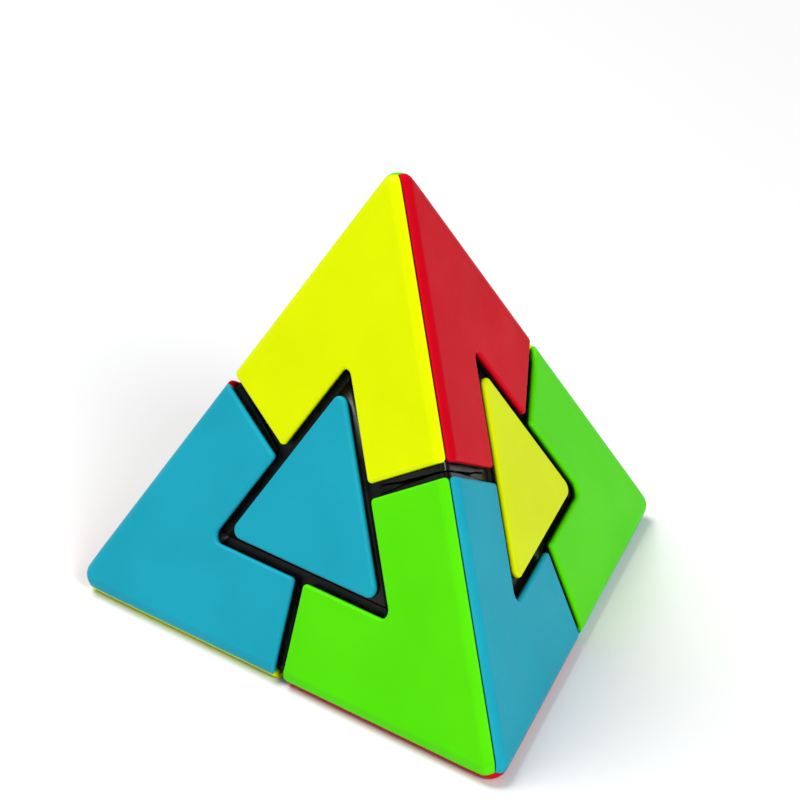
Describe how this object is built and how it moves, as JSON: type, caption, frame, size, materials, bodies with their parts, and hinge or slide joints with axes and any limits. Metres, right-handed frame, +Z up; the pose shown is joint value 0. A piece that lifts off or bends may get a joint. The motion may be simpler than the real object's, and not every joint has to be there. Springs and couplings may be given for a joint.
{
  "type": "pyramid twisty puzzle",
  "caption": "Triangular pyramid puzzle with coloured caps on black pieces. Each corner turns together with the three face centres beside it, about an axis from the hidden core.",
  "frame": {"origin": "middle of the base face, which rests on the floor", "axes": "+Z up along the top corner's axis; -Y towards the front bottom corner; the other two bottom corners lie at -X and +X"},
  "size_m": [0.0944, 0.0824, 0.0778],
  "materials": {
    "yellow_plastic": "satin-gloss moulded plastic",
    "blue_plastic": "satin-gloss moulded plastic",
    "green_plastic": "satin-gloss moulded plastic",
    "red_plastic": "satin-gloss moulded plastic",
    "black_plastic": "smooth moulded plastic",
    "core_plastic": "plain moulded plastic",
    "steel": "zinc-plated steel"
  },
  "bodies": {
    "core": {"core_frame": "core_plastic", "tension_screw_top": "steel", "tension_spring_top": "steel", "tension_washer_top": "steel", "tension_screw_left": "steel", "tension_spring_left": "steel", "tension_washer_left": "steel", "tension_screw_front": "steel", "tension_spring_front": "steel", "tension_washer_front": "steel", "tension_screw_right": "steel", "tension_spring_right": "steel", "tension_washer_right": "steel"},
    "corner_top": {"corner_top_body": "black_plastic", "corner_top_plug": "black_plastic", "corner_top_cap_left": "yellow_plastic", "corner_top_cap_right": "red_plastic", "corner_top_cap_back": "green_plastic"},
    "corner_left": {"corner_left_body": "black_plastic", "corner_left_plug": "black_plastic", "corner_left_cap_left": "blue_plastic", "corner_left_cap_back": "red_plastic", "corner_left_cap_bottom": "yellow_plastic"},
    "corner_front": {"corner_front_body": "black_plastic", "corner_front_plug": "black_plastic", "corner_front_cap_left": "green_plastic", "corner_front_cap_right": "blue_plastic", "corner_front_cap_bottom": "red_plastic"},
    "corner_right": {"corner_right_body": "black_plastic", "corner_right_plug": "black_plastic", "corner_right_cap_right": "green_plastic", "corner_right_cap_back": "yellow_plastic", "corner_right_cap_bottom": "blue_plastic"},
    "centre_left": {"centre_left_body": "black_plastic", "centre_left_cap": "blue_plastic"},
    "centre_right": {"centre_right_body": "black_plastic", "centre_right_cap": "yellow_plastic"},
    "centre_back": {"centre_back_body": "black_plastic", "centre_back_cap": "green_plastic"},
    "centre_bottom": {"centre_bottom_body": "black_plastic", "centre_bottom_cap": "red_plastic"},
    "slider_top_left": {"edge_slider_top_left": "black_plastic"},
    "slider_top_front": {"edge_slider_top_front": "black_plastic"},
    "slider_top_right": {"edge_slider_top_right": "black_plastic"},
    "slider_front_left": {"edge_slider_front_left": "black_plastic"},
    "slider_left_right": {"edge_slider_left_right": "black_plastic"},
    "slider_right_front": {"edge_slider_right_front": "black_plastic"}
  },
  "joints": [
    {"name": "turn_top", "type": "hinge", "parent": "core", "child": "corner_top", "pos_m": [0, 0, 0.02082], "axis": [0, 0, 1], "range_deg": [-120, 240]},
    {"name": "turn_left", "type": "hinge", "parent": "core", "child": "corner_left", "pos_m": [0, 0, 0.02082], "axis": [-0.8165, 0.4714, -0.3333], "range_deg": [-120, 240]},
    {"name": "turn_front", "type": "hinge", "parent": "core", "child": "corner_front", "pos_m": [0, 0, 0.02082], "axis": [0, -0.9428, -0.3333], "range_deg": [-120, 240]},
    {"name": "turn_right", "type": "hinge", "parent": "core", "child": "corner_right", "pos_m": [0, 0, 0.02082], "axis": [0.8165, 0.4714, -0.3333], "range_deg": [-120, 240]},
    {"name": "slider_top_left_turn", "type": "hinge", "parent": "corner_top", "child": "slider_top_left", "pos_m": [0, 0, 0.02082], "axis": [-0.8165, 0.4714, -0.3333], "range_deg": [-120, 240]},
    {"name": "slider_top_front_turn", "type": "hinge", "parent": "corner_top", "child": "slider_top_front", "pos_m": [0, 0, 0.02082], "axis": [0, -0.9428, -0.3333], "range_deg": [-120, 240]},
    {"name": "slider_top_right_turn", "type": "hinge", "parent": "corner_top", "child": "slider_top_right", "pos_m": [0, 0, 0.02082], "axis": [0.8165, 0.4714, -0.3333], "range_deg": [-120, 240]},
    {"name": "slider_front_left_turn", "type": "hinge", "parent": "corner_front", "child": "slider_front_left", "pos_m": [0, 0, 0.02082], "axis": [-0.8165, 0.4714, -0.3333], "range_deg": [-120, 240]},
    {"name": "slider_left_right_turn", "type": "hinge", "parent": "corner_left", "child": "slider_left_right", "pos_m": [0, 0, 0.02082], "axis": [0.8165, 0.4714, -0.3333], "range_deg": [-120, 240]},
    {"name": "slider_right_front_turn", "type": "hinge", "parent": "corner_right", "child": "slider_right_front", "pos_m": [0, 0, 0.02082], "axis": [0, -0.9428, -0.3333], "range_deg": [-120, 240]},
    {"name": "centre_bottom_turn", "type": "hinge", "parent": "slider_front_left", "child": "centre_bottom", "pos_m": [0, 0, 0.02082], "axis": [0.8165, 0.4714, -0.3333], "range_deg": [-120, 240]},
    {"name": "centre_right_turn", "type": "hinge", "parent": "slider_top_right", "child": "centre_right", "pos_m": [0, 0, 0.02082], "axis": [0, -0.9428, -0.3333], "range_deg": [-120, 240]},
    {"name": "centre_back_turn", "type": "hinge", "parent": "slider_top_left", "child": "centre_back", "pos_m": [0, 0, 0.02082], "axis": [0.8165, 0.4714, -0.3333], "range_deg": [-120, 240]},
    {"name": "centre_left_turn", "type": "hinge", "parent": "slider_top_front", "child": "centre_left", "pos_m": [0, 0, 0.02082], "axis": [-0.8165, 0.4714, -0.3333], "range_deg": [-120, 240]}
  ],
  "couplings": [
    {"joint": "slider_top_left_turn", "follows": "turn_left", "ratio": 1},
    {"joint": "slider_top_front_turn", "follows": "turn_front", "ratio": 1},
    {"joint": "slider_top_right_turn", "follows": "turn_right", "ratio": 1},
    {"joint": "slider_front_left_turn", "follows": "turn_left", "ratio": 1},
    {"joint": "slider_left_right_turn", "follows": "turn_right", "ratio": 1},
    {"joint": "slider_right_front_turn", "follows": "turn_front", "ratio": 1},
    {"joint": "centre_bottom_turn", "follows": "turn_right", "ratio": 1},
    {"joint": "centre_right_turn", "follows": "turn_front", "ratio": 1},
    {"joint": "centre_back_turn", "follows": "turn_right", "ratio": 1},
    {"joint": "centre_left_turn", "follows": "turn_left", "ratio": 1}
  ]
}
